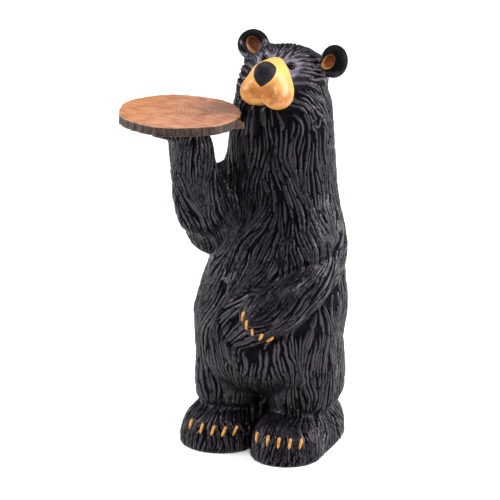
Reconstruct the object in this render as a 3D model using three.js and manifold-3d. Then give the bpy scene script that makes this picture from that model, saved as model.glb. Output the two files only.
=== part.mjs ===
// A standing black bear figurine, cast in resin from a carved original, that holds up a slice of log as a tray.
// Millimetres, +Z up. The bear faces -Y and its own left side is at +X. The floor is z = 0, and the origin is
// the middle of the flat underside, between the heels.
import * as THREE from "three";
import { LoftGeometry } from "three/addons/geometries/LoftGeometry.js";
import { mergeVertices } from "three/addons/utils/BufferGeometryUtils.js";
import Module from "manifold-3d";

// Driving dimensions. The figure is a free form, so its pose and proportions are shares of its height, counted
// in units (u) of which it stands 967 tall. The tray, the claws and the fit between the two pieces are sizes
// of their own.
const FIGURE_HEIGHT = 484;
const UNITS_TALL = 967;
const TRAY_DIAMETER = 142;
const TRAY_THICKNESS = 11;
const TRAY_WAVINESS = 1.6;
const TRAY_CHAMFER = 1.2;
const TRAY_TILT = 1.5;
const SEAT_CLEARANCE = 0.3;
const HEAD_TURN = 10;
const HEAD_ROLL = 5;
const HEAD_LIFT = 10;
const CLAW_LENGTH = 13;
const CLAW_RADIUS = 1.7;
const CLAWS_PER_PAW = 5;

const u = FIGURE_HEIGHT / UNITS_TALL;
const degrees = THREE.MathUtils.degToRad;
const wasm = await Module();
wasm.setup();

const bearBlack = new THREE.MeshStandardMaterial({ name: "black_resin", color: 0x1d1b1f, roughness: 0.45 });
const logBrown = new THREE.MeshStandardMaterial({ name: "log_slice", color: 0x9a5b34, roughness: 0.6 });

// Turns a closed three.js geometry into a solid that can be joined and cut.
function solid(geometry) {
  const bare = new THREE.BufferGeometry();
  bare.setAttribute("position", geometry.attributes.position);
  bare.setIndex(geometry.index);
  const merged = mergeVertices(bare, 1e-4);
  const vertProperties = merged.attributes.position.array;
  const triVerts = new Uint32Array(merged.index.array);
  return new wasm.Manifold(new wasm.Mesh({ numProp: 3, vertProperties, triVerts }));
}

function join(solids) {
  return solids.reduce((whole, next) => whole.add(next));
}

function meshOf(name, made, material) {
  const { vertProperties, triVerts } = made.getMesh();
  const geometry = new THREE.BufferGeometry();
  geometry.setAttribute("position", new THREE.BufferAttribute(vertProperties, 3));
  geometry.setIndex(new THREE.BufferAttribute(triVerts, 1));
  geometry.computeVertexNormals();
  const mesh = new THREE.Mesh(geometry, material);
  mesh.name = name;
  return mesh;
}

// A smooth curve of several values through stations, each [place, value, value, ...].
function through(stations) {
  const places = stations.map((station) => station[0]);
  const values = stations.flatMap((station) => station.slice(1));
  const count = stations[0].length - 1;
  const curve = new THREE.CubicInterpolant(places, values, count, new Array(count));
  return (place) => Array.from(curve.evaluate(place));
}

// Ring of points about a centre. Power 2 is an ellipse, and more is squarer.
function ring(centre, right, forward, halfWidth, front, back, power, segments) {
  const points = [];
  for (let i = 0; i < segments; i++) {
    const angle = (i / segments) * 2 * Math.PI;
    const across = Math.sign(Math.cos(angle)) * Math.abs(Math.cos(angle)) ** (2 / power) * halfWidth;
    const depth = Math.sin(angle) < 0 ? front : back;
    const along = Math.sign(Math.sin(angle)) * Math.abs(Math.sin(angle)) ** (2 / power) * depth;
    points.push(centre.clone().addScaledVector(right, across).addScaledVector(forward, along));
  }
  return points;
}

const X = new THREE.Vector3(1, 0, 0);
const Y = new THREE.Vector3(0, 1, 0);
const Z = new THREE.Vector3(0, 0, 1);
const CAPPED = { capStart: true, capEnd: true };

// Places from 0 to 1 that crowd towards both ends, where a rounded form turns fastest.
function roundPlaces(count) {
  return Array.from({ length: count }, (_, i) => (1 - Math.cos((Math.PI * (i + 0.35)) / (count - 0.3))) / 2);
}

// How far a form has closed at a place, for ends that round off over a share of its length.
function rounded(place, startShare, endShare) {
  const start = Math.max(0, 1 - place / startShare);
  const end = Math.max(0, 1 - (1 - place) / endShare);
  return Math.sqrt(1 - Math.max(start, end) ** 2);
}

// Upright form whose sections are level. Stations are [height, centre x, centre y, half width, front, back].
function column(stations, { rings, segments, power = 2, startShare, endShare, placement }) {
  const section = through(stations);
  const low = stations[0][0];
  const high = stations[stations.length - 1][0];
  const sections = roundPlaces(rings).map((place) => {
    const z = low + (high - low) * place;
    const [x, y, halfWidth, front, back] = section(z);
    const size = u * rounded(place, startShare, endShare);
    const centre = new THREE.Vector3(x, y, z).multiplyScalar(u);
    return ring(centre, X, Y, halfWidth * size, front * size, back * size, power, segments);
  });
  const geometry = new LoftGeometry(sections, CAPPED);
  if (placement) geometry.applyMatrix4(placement);
  return solid(geometry);
}

// Limb along a smooth spine, with rounded ends. Stations are [x, y, z, half width, half depth]. The width is
// taken square to the spine and to the across vector.
function limb(stations, { rings, segments, power = 2, across = Y }) {
  const spine = new THREE.CatmullRomCurve3(stations.map(([x, y, z]) => new THREE.Vector3(x, y, z).multiplyScalar(u)));
  const size = through(stations.map((station, i) => [i / (stations.length - 1), station[3], station[4]]));
  const length = spine.getLength();
  const [first, last] = [stations[0], stations[stations.length - 1]];
  const startShare = Math.min(0.5, (Math.min(first[3], first[4]) * u) / length);
  const endShare = Math.min(0.5, (Math.min(last[3], last[4]) * u) / length);
  const sections = roundPlaces(rings).map((place) => {
    const tangent = spine.getTangent(place);
    const right = new THREE.Vector3().crossVectors(across, tangent).normalize();
    const forward = new THREE.Vector3().crossVectors(tangent, right).normalize();
    const [halfWidth, halfDepth] = size(place);
    const round = u * rounded(place, startShare, endShare);
    const depth = halfDepth * round;
    return ring(spine.getPoint(place), right, forward, halfWidth * round, depth, depth, power, segments);
  });
  return solid(new LoftGeometry(sections, CAPPED));
}

// Egg or pebble: a sphere with three radii, turned and placed.
function pebble([x, y, z], [rx, ry, rz], { detail = 16, turn = [0, 0, 0], placement } = {}) {
  const geometry = new THREE.SphereGeometry(1, detail, Math.round(detail / 2));
  geometry.rotateX(Math.PI / 2);
  geometry.scale(rx * u, ry * u, rz * u);
  geometry.applyMatrix4(new THREE.Matrix4().makeRotationFromEuler(new THREE.Euler(...turn.map(degrees), "ZYX")));
  geometry.translate(x * u, y * u, z * u);
  if (placement) geometry.applyMatrix4(placement);
  return solid(geometry);
}

// The trunk is one column from the belly's underside to the neck.
const trunk = column(
  [
    [110, 6, 4, 120, 110, 100],
    [190, 6, 2, 172, 168, 140],
    [250, 5, 0, 174, 180, 146],
    [320, 9, 0, 181, 180, 148],
    [400, 17, 4, 165, 164, 144],
    [480, 20, 10, 146, 146, 136],
    [560, 22, 14, 143, 130, 128],
    [640, 24, 16, 130, 118, 120],
    [720, 27, 16, 122, 110, 114],
    [800, 30, 14, 115, 104, 108],
    [880, 33, 12, 100, 94, 94],
  ],
  { rings: 24, segments: 34, power: 2.15, startShare: 0.06, endShare: 0.08 },
);

// The head's own frame: its middle, turned to the tray, its left side dropped and its nose lifted.
const head = new THREE.Matrix4()
  .makeTranslation(47 * u, 10 * u, 869 * u)
  .multiply(new THREE.Matrix4().makeRotationZ(-degrees(HEAD_TURN)))
  .multiply(new THREE.Matrix4().makeRotationY(degrees(HEAD_ROLL)))
  .multiply(new THREE.Matrix4().makeRotationX(-degrees(HEAD_LIFT)));
const skull = column(
  [
    [-140, -12, 24, 74, 60, 84],
    [-84, -15, 14, 103, 88, 98],
    [-40, -17, 6, 106, 94, 104],
    [0, -14, 0, 101, 94, 104],
    [40, -6, 0, 96, 90, 100],
    [76, -2, 4, 84, 80, 88],
  ],
  { rings: 13, segments: 32, power: 2.1, startShare: 0.3, endShare: 0.26, placement: head },
);
const muzzle = column(
  [
    [-56, 0, -96, 26, 30, 20],
    [-46, 0, -96, 47, 48, 30],
    [-30, 0, -96, 58, 57, 30],
    [-8, 0, -96, 56, 63, 30],
    [12, 0, -96, 46, 65, 30],
    [29, 0, -96, 33, 61, 30],
    [40, 0, -94, 23, 44, 30],
    [51, 0, -88, 15, 10, 20],
  ],
  { rings: 13, segments: 24, power: 2.2, startShare: 0.1, endShare: 0.16, placement: head },
);
const SIDES = [-1, 1];
const jowls = SIDES.map((side) => pebble([side * 28, -114, -32], [35, 47, 34], { detail: 20, placement: head }));
const nose = column(
  [
    [-14, 0, -150, 6, 14, 10],
    [0, 0, -150, 16, 20, 10],
    [14, 0, -150, 25, 24, 10],
    [27, 0, -150, 28, 22, 10],
    [40, 0, -148, 21, 12, 10],
  ],
  { rings: 8, segments: 16, power: 2.2, startShare: 0.2, endShare: 0.25, placement: head },
);

// Ears are thick pebbles with a hollow in front. Each is [middle x, half width, half height, turn].
const EARS = [
  [-101, 37, 36, 18],
  [103, 33, 38, -8],
];
const EAR_DEPTH = 24;
const EAR_HEIGHT = 55;
const ears = EARS.map(([x, wide, tall, turn]) =>
  pebble([x, 0, EAR_HEIGHT], [wide, EAR_DEPTH, tall], { detail: 20, turn: [0, 0, turn], placement: head }),
);
const earHollows = EARS.map(([x, wide, tall, turn]) => {
  const [out, forward] = [EAR_DEPTH * Math.sin(degrees(turn)), -EAR_DEPTH * Math.cos(degrees(turn))];
  const radii = [wide * 0.58, EAR_DEPTH * 0.55, tall * 0.6];
  return pebble([x + out - 4 * Math.sign(x), forward, EAR_HEIGHT - 2], radii, { turn: [0, 0, turn], placement: head });
});

const LEG = { x: 84, shift: 6 };
const legs = SIDES.map((side) =>
  column(
    [
      [70, LEG.shift + side * LEG.x, 0, 82, 112, 118],
      [100, LEG.shift + side * LEG.x, 0, 88, 122, 126],
      [170, LEG.shift + side * LEG.x, 0, 90, 126, 130],
      [250, LEG.shift + side * LEG.x * 0.96, 0, 84, 118, 130],
      [330, LEG.shift + side * LEG.x * 0.86, 0, 70, 90, 118],
    ],
    { rings: 11, segments: 24, power: 2.5, startShare: 0.12, endShare: 0.3 },
  ),
);
const rightFoot = limb(
  [
    [-78, 126, 6, 80, 84],
    [-82, 10, 6, 90, 100],
    [-92, -82, 4, 95, 94],
    [-106, -179, 2, 84, 74],
  ],
  { rings: 13, segments: 24, power: 2.6, across: Z },
);
const leftFoot = limb(
  [
    [82, 126, 6, 80, 84],
    [87, 10, 6, 96, 102],
    [83, -104, 4, 88, 92],
    [84, -218, 2, 77, 72],
  ],
  { rings: 13, segments: 24, power: 2.6, across: Z },
);
const crotch = column(
  [
    [-20, 4, 0, 84, 84, 96],
    [240, 4, 0, 84, 84, 96],
  ],
  { rings: 6, segments: 20, power: 3, startShare: 0.1, endShare: 0.1 },
);

const leftUpperArm = limb(
  [
    [76, 32, 680, 40, 48],
    [100, 22, 580, 58, 66],
    [124, 0, 480, 66, 70],
    [126, -34, 392, 62, 62],
  ],
  { rings: 12, segments: 20 },
);
const leftForearm = limb(
  [
    [138, -14, 456, 62, 60],
    [118, -100, 414, 62, 58],
    [70, -152, 366, 61, 52],
    [-12, -184, 330, 54, 44],
  ],
  { rings: 14, segments: 22 },
);
const rightUpperArm = limb(
  [
    [-20, 20, 590, 100, 76],
    [-80, -44, 566, 104, 66],
    [-124, -96, 528, 72, 58],
  ],
  { rings: 10, segments: 20 },
);
const rightElbow = pebble([-113, -66, 546], [73, 68, 94], { detail: 20 });
const leftSide = limb(
  [
    [84, 20, 630, 56, 60],
    [92, -30, 540, 80, 78],
    [78, -84, 440, 88, 70],
    [50, -104, 380, 70, 50],
  ],
  { rings: 10, segments: 20 },
);
const rightForearm = limb(
  [
    [-116, -86, 515, 64, 62],
    [-130, -112, 590, 62, 60],
    [-141, -137, 700, 52, 52],
    [-146, -144, 778, 54, 54],
  ],
  { rings: 12, segments: 22 },
);
const rightPalm = pebble([-175, -150, 774], [75, 62, 26], { detail: 20 });

const floorBlock = solid(
  new THREE.BoxGeometry(FIGURE_HEIGHT, FIGURE_HEIGHT, FIGURE_HEIGHT).translate(0, 0, -FIGURE_HEIGHT / 2),
);
const body = join([
  trunk,
  skull,
  muzzle,
  ...jowls,
  nose,
  ...ears,
  ...legs,
  rightFoot,
  leftFoot,
  crotch,
  leftUpperArm,
  leftForearm,
  leftSide,
  rightUpperArm,
  rightElbow,
  rightForearm,
  rightPalm,
])
  .subtract(join(earHollows))
  .subtract(floorBlock);

// Small features sit on the surface: a ray from outside finds the place and the way the surface faces.
const surface = meshOf("surface", body, bearBlack);
function seat(from, heading) {
  const start = new THREE.Vector3(...from).multiplyScalar(u);
  const ray = new THREE.Raycaster(start, new THREE.Vector3(...heading).normalize());
  const [hit] = ray.intersectObject(surface);
  return { point: hit.point, normal: hit.face.normal };
}

const EYE_RADIUS = 8.5;
const EYES = [
  [26, -120, 944],
  [87, -120, 933],
];
const INWARD = [-0.26, 0.91, -0.31];
const eyes = EYES.map((from) => {
  const { point } = seat(from, INWARD);
  return pebble(point.divideScalar(u).toArray(), [EYE_RADIUS, EYE_RADIUS, EYE_RADIUS], { detail: 10 });
});

// A claw lies on the surface and points the way that the paw does.
function claw(from, heading, pointing) {
  const { point, normal } = seat(from, heading);
  const along = new THREE.Vector3(...pointing).projectOnPlane(normal).normalize();
  const geometry = new THREE.CapsuleGeometry(CLAW_RADIUS, CLAW_LENGTH - 2 * CLAW_RADIUS, 1, 6);
  geometry.applyQuaternion(new THREE.Quaternion().setFromUnitVectors(Y, along));
  geometry.translate(...point.addScaledVector(normal, CLAW_RADIUS * 0.3));
  return solid(geometry);
}

// Claws of one paw stand along an arc through three places in front of it.
function clawRow(first, middle, last, pointing) {
  const arc = new THREE.CatmullRomCurve3([first, middle, last].map((place) => new THREE.Vector3(...place)));
  const places = arc.getSpacedPoints(CLAWS_PER_PAW - 1);
  return places.map((place) => claw(place.toArray(), INWARD, pointing));
}
const claws = [
  ...clawRow([-116, -250, 98], [-63, -250, 90], [-8, -250, 95], [-0.3, -1, -1]),
  ...clawRow([48, -260, 86], [100, -260, 78], [152, -260, 82], [0, -1, -1]),
  ...clawRow([6, -230, 365], [29, -230, 329], [69, -230, 316], [-1, -0.4, -0.9]),
];

// The tray is a slice of a log: a disc with a wavy rim, let down onto the open paw.
const TRAY_PLACE = [-163, -152, 814];
const TRAY_POINTS = 56;
function logSlice(growth) {
  const outline = new THREE.Shape();
  for (let i = 0; i < TRAY_POINTS; i++) {
    const angle = (i / TRAY_POINTS) * 2 * Math.PI;
    const wave = TRAY_WAVINESS * (Math.sin(3 * angle + 1) + 0.6 * Math.sin(7 * angle));
    const radius = TRAY_DIAMETER / 2 + wave - TRAY_CHAMFER + growth;
    const [x, y] = [radius * Math.cos(angle), radius * Math.sin(angle)];
    if (i === 0) outline.moveTo(x, y);
    else outline.lineTo(x, y);
  }
  outline.closePath();
  const geometry = new THREE.ExtrudeGeometry(outline, {
    depth: TRAY_THICKNESS - 2 * TRAY_CHAMFER + 2 * growth,
    bevelThickness: TRAY_CHAMFER,
    bevelSize: TRAY_CHAMFER,
    bevelSegments: 1,
  });
  geometry.translate(0, 0, TRAY_CHAMFER - TRAY_THICKNESS - growth);
  geometry.rotateY(degrees(TRAY_TILT));
  geometry.translate(...TRAY_PLACE.map((share) => share * u));
  return solid(geometry);
}
const tray = logSlice(0);
const bear = join([body, ...eyes, ...claws]).subtract(logSlice(SEAT_CLEARANCE));

const group = new THREE.Group();
group.add(meshOf("bear", bear, bearBlack));
group.add(meshOf("tray", tray, logBrown));
export default group;
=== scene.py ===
# %% [markdown]
# # A standing black bear that holds up a slice of log
# The real figure is a hollow casting in filled resin, taken from a carved original and painted by hand. The
# carver's gouge left long wavy locks of fur, and that relief is what the eye reads first. The tray is a second
# casting, painted as a slice of log, and it lies on the raised paw.
#
# The solids already give the size, the pose and the place of both pieces. This lesson dresses them: it keeps
# each solid's form, carves the relief into a fine copy of it, and paints the copy with procedural materials.

import math

import bmesh
import bpy
import numpy as np
from mathutils import Matrix, Vector
from mathutils.bvhtree import BVHTree


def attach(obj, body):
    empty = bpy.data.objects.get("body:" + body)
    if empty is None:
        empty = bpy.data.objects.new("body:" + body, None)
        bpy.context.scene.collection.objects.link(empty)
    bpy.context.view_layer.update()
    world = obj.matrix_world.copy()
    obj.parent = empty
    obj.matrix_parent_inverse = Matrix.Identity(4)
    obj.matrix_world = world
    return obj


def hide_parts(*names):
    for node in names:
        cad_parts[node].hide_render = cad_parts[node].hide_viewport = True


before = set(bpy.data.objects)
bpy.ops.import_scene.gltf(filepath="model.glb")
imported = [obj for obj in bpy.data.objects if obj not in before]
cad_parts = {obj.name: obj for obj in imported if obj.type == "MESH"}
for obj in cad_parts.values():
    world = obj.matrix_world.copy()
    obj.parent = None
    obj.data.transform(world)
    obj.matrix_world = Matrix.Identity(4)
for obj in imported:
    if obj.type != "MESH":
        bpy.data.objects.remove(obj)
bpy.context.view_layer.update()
MM = 0.001
FIGURE_HEIGHT = 484 * MM
U = FIGURE_HEIGHT / 967
print("solids:", sorted(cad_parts), "one unit of the figure is", round(U / MM, 4), "mm")

# %% [markdown]
# ## The camera
# The photograph was taken from a little above and from the bear's left. A long lens from nearly three metres
# away keeps the upright lines almost parallel, as they are there. The camera comes first, so that every later
# step can be looked at from the same place.

# %% The camera
AZIMUTH, ELEVATION = math.radians(16), math.radians(18)
DISTANCE = 2.9
LENS = 178.5
AIM_SIDEWAYS, AIM_HEIGHT = -21 * MM, 226 * MM


def away(azimuth, elevation):
    """Direction from the figure towards a viewer."""
    level = math.cos(elevation)
    return Vector((math.sin(azimuth) * level, -math.cos(azimuth) * level, math.sin(elevation)))


camera = bpy.data.objects.new("camera", bpy.data.cameras.new("camera"))
bpy.context.collection.objects.link(camera)
aim = Vector((math.cos(AZIMUTH), math.sin(AZIMUTH), 0)) * AIM_SIDEWAYS + Vector((0, 0, AIM_HEIGHT))
camera.location = aim + away(AZIMUTH, ELEVATION) * DISTANCE
camera.rotation_euler = away(AZIMUTH, ELEVATION).to_track_quat("Z", "Y").to_euler()
camera.data.lens = LENS
camera.data.sensor_width = 36
camera.data.clip_start, camera.data.clip_end = 0.1, 30
bpy.context.scene.camera = camera
print("camera at", [round(c, 3) for c in camera.location])

# %% [markdown]
# ## Small helpers
# A few helpers carry the whole lesson. Some read the places of a mesh's points into numpy and store a number or
# a vector on every point. Others add a node with its settings and links, and run a node tree on an object. The
# result is always a plain mesh object, so that no live modifier is left behind.

# %% Points and attributes
def link_object(name, mesh):
    made = bpy.data.objects.new(name, mesh)
    bpy.context.collection.objects.link(made)
    return made


def points_of(mesh):
    flat = np.empty(len(mesh.vertices) * 3, np.float32)
    mesh.vertices.foreach_get("co", flat)
    return flat.reshape(-1, 3).astype(float)


def normals_of(mesh):
    flat = np.empty(len(mesh.vertices) * 3, np.float32)
    mesh.vertex_normals.foreach_get("vector", flat)
    return flat.reshape(-1, 3).astype(float)


def move_points(mesh, points):
    mesh.vertices.foreach_set("co", points.astype(np.float32).ravel())
    mesh.update()


def store(mesh, name, values):
    vector = values.ndim == 2
    layer = mesh.attributes.get(name) or mesh.attributes.new(name, "FLOAT_VECTOR" if vector else "FLOAT", "POINT")
    layer.data.foreach_set("vector" if vector else "value", values.astype(np.float32).ravel())


def smooth_step(low, high, values):
    share = np.clip((values - low) / (high - low), 0, 1)
    return share * share * (3 - 2 * share)


print("helpers for points and attributes ready")


# %% Nodes and node trees
def node(tree, kind, inputs=(), **settings):
    """Adds a node. Inputs are given by socket name or number, as a value or as another node's output."""
    made = tree.nodes.new(kind)
    for name, value in settings.items():
        setattr(made, name, value)
    for socket, value in dict(inputs).items():
        named = isinstance(socket, str)
        target = next(s for s in made.inputs if s.enabled and s.name == socket) if named else made.inputs[socket]
        if isinstance(value, bpy.types.NodeSocket):
            tree.links.new(value, target)
        else:
            target.default_value = value
    return made


def out(made, name=None):
    return next(s for s in made.outputs if s.enabled and name in (None, s.name))


def math_node(tree, operation, first, second=0.0, third=0.0, clamp=False):
    return out(node(tree, "ShaderNodeMath", {0: first, 1: second, 2: third}, operation=operation, use_clamp=clamp))

def field(tree, name, kind="FLOAT"):
    """What the points carry under a name, in a geometry tree."""
    return out(node(tree, "GeometryNodeInputNamedAttribute", {"Name": name}, data_type=kind))

def store_field(tree, geometry, name, value, kind="FLOAT"):
    inputs = {"Geometry": geometry, "Name": name, "Value": value}
    return node(tree, "GeometryNodeStoreNamedAttribute", inputs, data_type=kind, domain="POINT")

def geometry_tree(name, **sizes):
    """A tree with a geometry input, the named sizes and one geometry output."""
    tree = bpy.data.node_groups.new(name, "GeometryNodeTree")
    tree.interface.new_socket("Geometry", in_out="INPUT", socket_type="NodeSocketGeometry")
    for label, kind in sizes.items():
        tree.interface.new_socket(label, in_out="INPUT", socket_type="NodeSocket" + kind)
    tree.interface.new_socket("Geometry", in_out="OUTPUT", socket_type="NodeSocketGeometry")
    return tree, node(tree, "NodeGroupInput")


def plain_copy(made, name):
    """A new object with the evaluated mesh of another one."""
    depsgraph = bpy.context.evaluated_depsgraph_get()
    evaluated = made.evaluated_get(depsgraph)
    mesh = bpy.data.meshes.new_from_object(evaluated, preserve_all_data_layers=True, depsgraph=depsgraph)
    return link_object(name, mesh)


def run_tree(made, tree, name, **values):
    """Runs a tree on an object and returns a new object. Sizes are set by the sockets' identifiers."""
    modifier = made.modifiers.new("shaping", "NODES")
    modifier.node_group = tree
    for item in tree.interface.items_tree:
        if item.in_out == "INPUT" and item.name in values:
            modifier[item.identifier] = values[item.name]
    result = plain_copy(made, name)
    made.modifiers.remove(modifier)
    return result


def drop(*objects):
    for made in objects:
        mesh = made.data
        bpy.data.objects.remove(made)
        bpy.data.meshes.remove(mesh)


print("helpers for nodes ready")

# %% [markdown]
# ## A fine skin over the solid
# The solid is faceted, and its limbs meet in hard seams. A carver's figure has neither: arm and belly run into
# each other in a soft crease. A voxel remesh covers the whole solid with one even skin, and blurring the
# points' places rounds the facets and seams. The head is blurred less, because its ears and muzzle are small.
# The points on the floor aren't blurred at all, so the figure still stands flat.

# %% The skin
VOXEL = 1.1 * MM
MOST_TRIANGLES = 192000


def merged_copy(name, new_name):
    """The solid's loose triangles as one closed mesh."""
    shell = bmesh.new()
    shell.from_mesh(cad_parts[name].data)
    bmesh.ops.remove_doubles(shell, verts=shell.verts, dist=1e-6)
    mesh = bpy.data.meshes.new(new_name)
    shell.to_mesh(mesh)
    shell.free()
    return link_object(new_name, mesh)


rough = merged_copy("bear", "rough")
remesh = rough.modifiers.new("skin", "REMESH")
remesh.mode = "VOXEL"
remesh.voxel_size = VOXEL
skin = plain_copy(rough, "skin")
drop(rough)
print("skin:", len(skin.data.vertices), "points")

# %% [markdown]
# ## Where things are on the figure
# Everything on the head is easier to place in the head's own frame: its middle is the origin, the nose points
# along -Y, and the turn, roll and lift of the head are already taken out. The arms are described by the lines
# along their middles.

# %% The head's frame
HEAD_TURN, HEAD_ROLL, HEAD_LIFT = math.radians(10), math.radians(5), math.radians(10)
head_turned = (
    Matrix.Rotation(-HEAD_TURN, 3, "Z") @ Matrix.Rotation(HEAD_ROLL, 3, "Y") @ Matrix.Rotation(-HEAD_LIFT, 3, "X")
)
HEAD_AXES = np.array(head_turned)
HEAD_MIDDLE = np.array([47, 10, 869]) * U


def in_head(points):
    """Places in the head's frame, in units."""
    return (points - HEAD_MIDDLE) @ HEAD_AXES / U


def from_head(directions):
    return directions @ HEAD_AXES.T


print("the nose points along", from_head(np.array([[0.0, -1.0, 0.0]])).round(2)[0])

# %% Lines along the arms
LEFT_FOREARM = np.array([[138, -14, 456], [118, -100, 414], [70, -152, 366], [-12, -184, 330]]) * U
LEFT_UPPER_ARM = np.array([[80, 32, 690], [100, 22, 580], [124, 0, 480], [130, -20, 440]]) * U
RIGHT_FOREARM = np.array([[-146, -144, 790], [-141, -137, 700], [-130, -112, 590], [-113, -66, 520]]) * U
ARM_RADIUS = 58 * U


def along_line(points, line):
    """Distance to a line of points, and the direction of the line at the nearest place."""
    nearest = np.full(len(points), np.inf)
    heading = np.zeros((len(points), 3))
    for start, end in zip(line[:-1], line[1:]):
        run = end - start
        share = np.clip((points - start) @ run / (run @ run), 0, 1)
        distance = np.linalg.norm(points - start - share[:, None] * run, axis=1)
        closer = distance < nearest
        nearest[closer] = distance[closer]
        heading[closer] = run / np.linalg.norm(run)
    return nearest, heading


print("arm lines:", len(LEFT_FOREARM), len(LEFT_UPPER_ARM), len(RIGHT_FOREARM), "points")

# %% The muzzle, nose and ears as distances
MUZZLE_HEIGHTS = [-56, -46, -30, -8, 12, 29, 40, 51]
MUZZLE_HALF_WIDTHS = [26, 47, 58, 56, 46, 33, 23, 15]
MUZZLE_FRONTS = [30, 48, 57, 63, 65, 61, 44, 10]
MUZZLE_BACK, NOSE_BACK, JOWL_BACK = -96, -138, -84
NOSE_HEIGHTS = [-17, -10, 0, 8, 15, 24, 31, 37, 41]
NOSE_HALF_WIDTHS = [-4, 6, 15, 19.5, 20.5, 20, 17, 11, -4]
NOSE_SIDEWAYS = [2.5, 4, 5, 6, 6.5, 6.5, 6, 5.5, 5.5]
EARS = [(-101, 37, 36, math.radians(18)), (103, 33, 38, math.radians(-8))]
EAR_DEPTH, EAR_HEIGHT = 24, 55
EAR_HOLLOWS = [(-93, 58, 15, 21, math.radians(32)), (97, 54, 14.5, 20, math.radians(-36))]
GOLD_HEIGHTS = [-60, -35, -19, -1, 15, 30, 42, 48, 52]
GOLD_LIMITS = [52, 52, 52.5, 46.5, 39.6, 31.2, 20.4, 12.8, -2]
GOLD_SIDE, GOLD_FORWARD = 0.895, 0.418


def muzzle_distance(head):
    """Rough distance outside the golden muzzle, in units. It is negative on and inside it."""
    x, y, z = head.T
    level = np.clip(z, MUZZLE_HEIGHTS[0], MUZZLE_HEIGHTS[-1])
    low_end, high_end = np.clip((-45.3 - level) / 10.7, 0, 0.98), np.clip((level - 34) / 17, 0, 0.98)
    close = np.sqrt(1 - np.maximum(low_end, high_end) ** 2)
    wide = np.interp(level, MUZZLE_HEIGHTS, MUZZLE_HALF_WIDTHS) * close
    deep = np.interp(level, MUZZLE_HEIGHTS, MUZZLE_FRONTS) * close
    column = (np.hypot(x / wide, (y - MUZZLE_BACK) / deep) - 1) * (wide + deep) / 2 + np.abs(z - level)
    jowl = np.sqrt(((np.abs(x) - 28) / 35) ** 2 + ((y + 114) / 47) ** 2 + ((z + 32) / 34) ** 2)
    return np.minimum(column, (jowl - 1) * 36)


def gold_distance(head):
    """Distance outside the golden paint, which ends where the muzzle meets the face."""
    x, y, z = head.T
    low = smooth_step(-10, -20, z)
    limit = np.interp(z, GOLD_HEIGHTS, GOLD_LIMITS) + 10 * smooth_step(JOWL_BACK, JOWL_BACK - 8, y) * low
    sideways = np.abs(x) * GOLD_SIDE + (y - MUZZLE_BACK) * GOLD_FORWARD
    backwards = np.maximum(sideways - limit, y - JOWL_BACK - 60 * (1 - low))
    reach = 4.5 + 5 * smooth_step(-98, -112, y) * smooth_step(-64, -54, z)
    return np.maximum(backwards, np.minimum(muzzle_distance(head), nose_distance(head)) - reach)


def nose_distance(head):
    """Distance outside the nose as seen from the front, in units."""
    x, y, z = head.T
    sideways = x - np.interp(z, NOSE_HEIGHTS, NOSE_SIDEWAYS)
    outline = np.abs(sideways) - np.interp(z, NOSE_HEIGHTS, NOSE_HALF_WIDTHS)
    flank = 1.2 * np.maximum(0, -9 - sideways)
    return np.maximum(outline * 0.8, (y - NOSE_BACK + flank) * 0.7)


def ear_parts(head):
    """For each ear, how far a point is out from its middle (1 at the rim) and from its hollow's middle."""
    parts = []
    for (x, wide, tall, turn), (hollow_x, hollow_z, short, long, lean) in zip(EARS, EAR_HOLLOWS):
        axis = np.array([math.sin(turn), -math.cos(turn), 0])
        side = np.array([math.cos(turn), math.sin(turn), 0])
        from_middle = head - [x, 0, EAR_HEIGHT]
        across, forward, rise = from_middle @ side, from_middle @ axis, from_middle[:, 2]
        whole = np.sqrt((across / wide) ** 2 + (forward / EAR_DEPTH) ** 2 + (rise / tall) ** 2)
        dx, dz = head[:, 0] - hollow_x, head[:, 2] - hollow_z
        along, beside = dz * math.cos(lean) - dx * math.sin(lean), dx * math.cos(lean) + dz * math.sin(lean)
        hollow = np.where(forward > 0, np.hypot(along / long, beside / short), 9)
        parts.append((whole, hollow, rise / tall))
    return parts


print("muzzle, nose and ears described")

# %% Blurring the skin
places = points_of(skin.data)
head = in_head(places)
near_ears = np.min([whole for whole, _, _ in ear_parts(head)], axis=0)
near_muzzle = np.minimum(muzzle_distance(head), nose_distance(head))
near_arm = along_line(places, LEFT_FOREARM)[0] / ARM_RADIUS
softness = np.ones(len(places))
for least, low, high, gap in ((0.42, 0, 40, near_muzzle), (0.16, 1.0, 1.5, near_ears), (0.35, 1.1, 1.6, near_arm)):
    softness = np.minimum(softness, least + (1 - least) * smooth_step(low, high, gap))
softness[places[:, 2] < 0.4 * MM] = 0

blur_tree, given = geometry_tree("blur_places", Passes="Int")
blurred = node(
    blur_tree,
    "GeometryNodeBlurAttribute",
    {
        "Value": out(node(blur_tree, "GeometryNodeInputPosition")),
        "Iterations": out(given, "Passes"),
        "Weight": field(blur_tree, "softness"),
    },
    data_type="FLOAT_VECTOR",
)
moved = node(blur_tree, "GeometryNodeSetPosition", {"Geometry": out(given), "Position": out(blurred)})
node(blur_tree, "NodeGroupOutput", {"Geometry": out(moved)})

store(skin.data, "softness", softness)
soft = run_tree(skin, blur_tree, "soft", Passes=60)
drop(skin)
print("blurred:", [round(float(c) / MM, 1) for c in points_of(soft.data).max(axis=0)])

# %% [markdown]
# ## Which way the fur lies
# On the face the fur runs back from the muzzle. On the trunk and legs it falls, on the arm across the belly it
# follows the arm, and on the feet it fans out over the toes. Each point of the skin stores that direction. A
# few slow waves turn it a little, because no carved lock is straight.

# %% The lie of the fur
FOOT_MIDDLES = np.array([[-84, -30, 60], [84, -40, 60]]) * U
SWIRLS = np.array([[-69, -136, 408], [-22, -128, 60], [128, -47, 778]]) * U


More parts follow.
